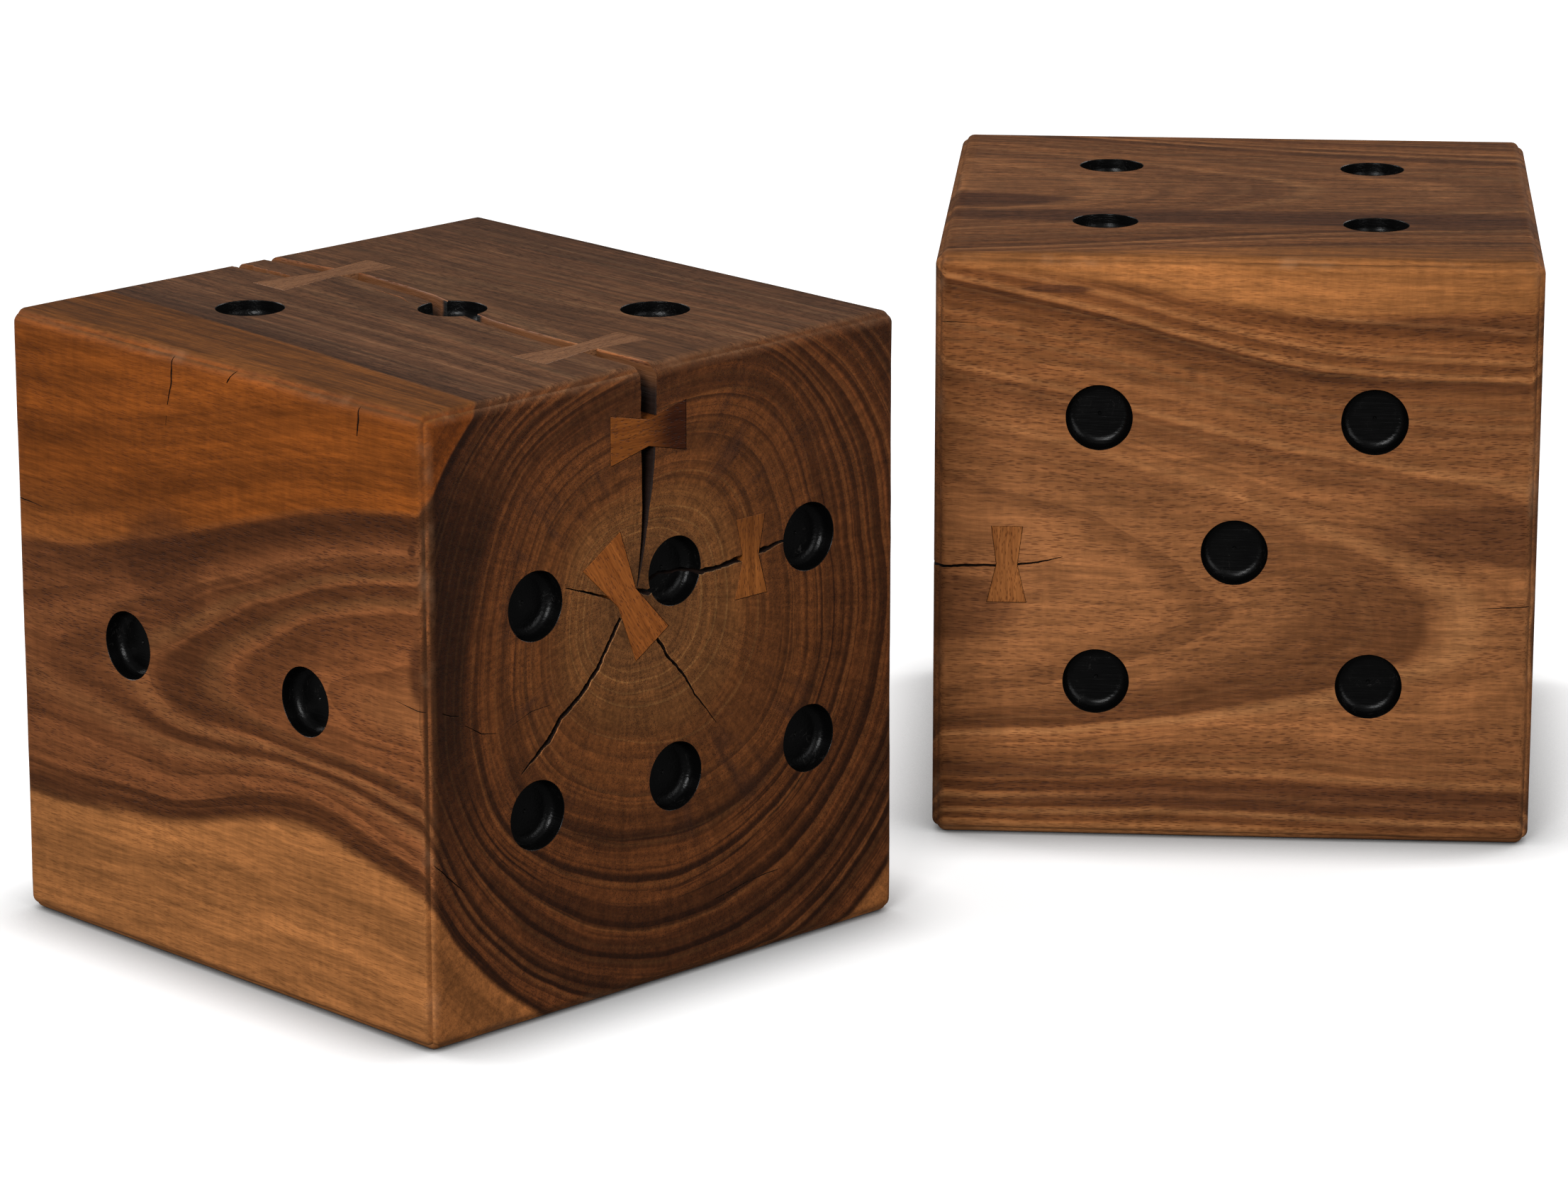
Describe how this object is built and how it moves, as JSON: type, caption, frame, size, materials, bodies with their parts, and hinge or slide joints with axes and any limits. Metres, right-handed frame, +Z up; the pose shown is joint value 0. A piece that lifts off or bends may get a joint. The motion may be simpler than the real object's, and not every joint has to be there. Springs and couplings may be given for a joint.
{
  "type": "giant yard dice",
  "caption": "Giant solid-wood dice cut from a log, with softened edges, recessed black pips, drying cracks and inlaid butterfly keys.",
  "frame": {"origin": "middle of the two dice's joint footprint, on the floor", "axes": "+Z up, +X along the pair's longer side from the left die to the right die, -Y towards the viewer"},
  "size_m": [1.032, 0.8488, 0.4064],
  "materials": {
    "left_die_wood": "satin clear lacquer over dark end grain and golden sapwood; pips painted satin black",
    "right_die_wood": "satin clear lacquer over orange-brown long grain; pips painted satin black",
    "key_wood": "satin clear lacquer, sanded flush with the block"
  },
  "bodies": {
    "left_die": {"left_die_block": "left_die_wood", "left_die_front_upper_key": "key_wood", "left_die_front_centre_key": "key_wood", "left_die_front_side_key": "key_wood", "left_die_top_front_key": "key_wood", "left_die_top_rear_key": "key_wood", "left_die_back_upper_key": "key_wood", "left_die_back_lower_key": "key_wood"},
    "right_die": {"right_die_block": "right_die_wood", "right_die_front_key": "key_wood", "right_die_left_end_key": "key_wood", "right_die_right_end_rear_key": "key_wood", "right_die_right_end_front_key": "key_wood"}
  },
  "joints": [
    {"name": "right_die_lift", "type": "slide", "parent": "left_die", "child": "right_die", "axis": [0, 0, 1], "range_m": [0, 0.6]}
  ]
}
